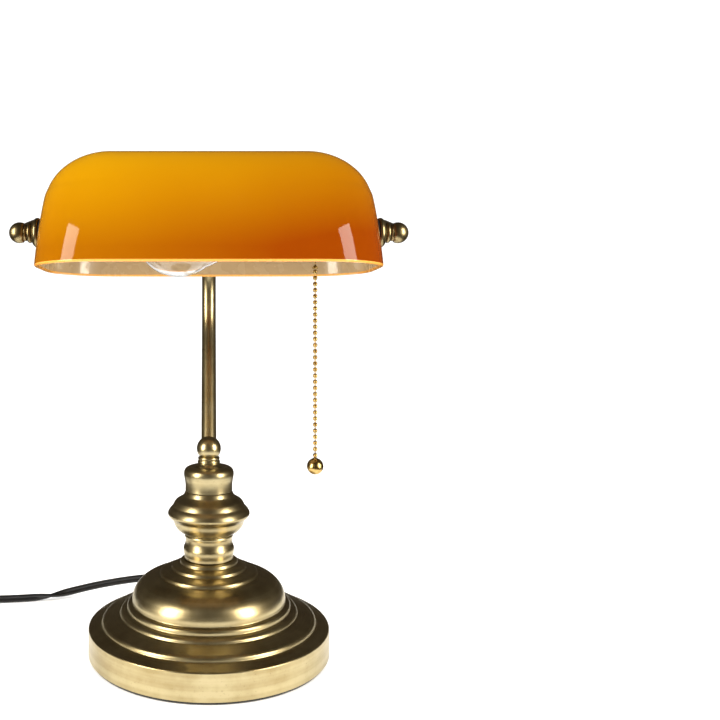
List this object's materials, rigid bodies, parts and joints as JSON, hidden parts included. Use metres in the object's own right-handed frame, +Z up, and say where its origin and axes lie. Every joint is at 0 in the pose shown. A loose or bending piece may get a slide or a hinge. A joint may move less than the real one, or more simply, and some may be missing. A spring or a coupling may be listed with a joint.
{
  "type": "desk lamp",
  "caption": "Banker's desk lamp: round weighted base, turned column, gooseneck and fork, tilting amber glass trough shade, bulb socket with pull chain, flat lead with plug.",
  "frame": {"origin": "centre of the round base's underside, on the surface that the lamp stands on", "axes": "+Z up the column; -Y to the front, the side that the shade hangs over and the user sits at; +X to the right, towards the pull chain and along the shade's tilt axis"},
  "size_m": [0.4185, 0.2704, 0.3664],
  "materials": {
    "antique_brass": "satin antique finish with fine turned brushing lines",
    "dark_brass": "darker antique finish, satin",
    "golden_brass": "bright golden, slightly worn",
    "zinc_steel": "zinc plated",
    "nickel_steel": "nickel plated",
    "cast_iron": "rough casting, unpainted",
    "black_felt": "pressed felt, matte",
    "amber_glass": "cased glass: glossy amber outside over a white opal layer inside",
    "clear_glass": "clear, thin blown glass",
    "card_liner": "pressed insulating card",
    "phenolic": "moulded phenolic",
    "washer_rubber": "matte",
    "black_pvc": "soft PVC, semi matte"
  },
  "bodies": {
    "stand": {"felt_pad": "black_felt", "bottom_disc": "zinc_steel", "base_shell": "antique_brass", "base_weight": "cast_iron", "base_washer": "zinc_steel", "base_nut": "zinc_steel", "threaded_rod": "zinc_steel", "lower_stem": "antique_brass", "stem_bell": "antique_brass", "stem_collar": "antique_brass", "neck_rings": "antique_brass", "neck_ball": "antique_brass", "arm_tube": "antique_brass", "arm_sleeve": "dark_brass", "yoke_tube": "antique_brass", "pivot_ball_left": "dark_brass", "pivot_ball_right": "dark_brass", "lead_in_base": "black_pvc", "lead_in_rod": "black_pvc", "lead_in_arm": "black_pvc", "strain_relief": "black_pvc", "lead": "black_pvc", "lead_coil": "black_pvc", "coil_tie": "black_pvc", "plug_body": "black_pvc", "plug_blade_a": "golden_brass", "plug_blade_b": "golden_brass"},
    "head": {"shade": "amber_glass", "ring_spacer_left": "dark_brass", "flange_left": "dark_brass", "outer_washer_left": "washer_rubber", "nipple_left": "zinc_steel", "inner_washer_left": "zinc_steel", "inner_nut_left": "zinc_steel", "ring_spacer_right": "dark_brass", "flange_right": "dark_brass", "outer_washer_right": "washer_rubber", "nipple_right": "zinc_steel", "inner_washer_right": "zinc_steel", "inner_nut_right": "zinc_steel", "socket_cap": "antique_brass", "socket_shell": "antique_brass", "socket_liner": "card_liner", "socket_interior": "phenolic", "screw_sleeve": "golden_brass", "centre_contact": "golden_brass", "terminal_screw_front": "golden_brass", "terminal_screw_back": "golden_brass", "chain_guide": "dark_brass", "bulb_glass": "clear_glass", "bulb_cap": "nickel_steel", "bulb_insulator": "phenolic", "bulb_contact": "nickel_steel", "bulb_stem": "clear_glass", "bulb_filament": "nickel_steel"},
    "pull": {"pull_link": "golden_brass"},
    "cam": {"switch_cam": "phenolic"},
    "coupling": {"chain_coupling": "golden_brass"},
    "chain": {"bead_chain": "golden_brass", "chain_ball": "golden_brass"}
  },
  "joints": [
    {"name": "shade_tilt", "type": "hinge", "parent": "stand", "child": "head", "pos_m": [0, -0.0684, 0.3116], "axis": [1, 0, 0], "range_deg": [-40, 15]},
    {"name": "chain_pull", "type": "slide", "parent": "head", "child": "pull", "axis": [0, 0, -1], "range_m": [0, 0.006], "stiffness_N_per_m": 400, "springref_m": -0.001},
    {"name": "switch_turn", "type": "hinge", "parent": "head", "child": "cam", "pos_m": [0.0722, -0.0684, 0.3111], "axis": [1, 0, 0], "range_deg": [0, 69]},
    {"name": "chain_swing_fore", "type": "hinge", "parent": "pull", "child": "coupling", "pos_m": [0.0722, -0.0684, 0.2902], "axis": [1, 0, 0], "range_deg": [-45, 45]},
    {"name": "chain_swing_side", "type": "hinge", "parent": "coupling", "child": "chain", "pos_m": [0.0722, -0.0684, 0.2885], "axis": [0, 1, 0], "range_deg": [-20, 20]}
  ],
  "couplings": [
    {"joint": "switch_turn", "follows": "chain_pull", "rad_per_m": 200}
  ]
}
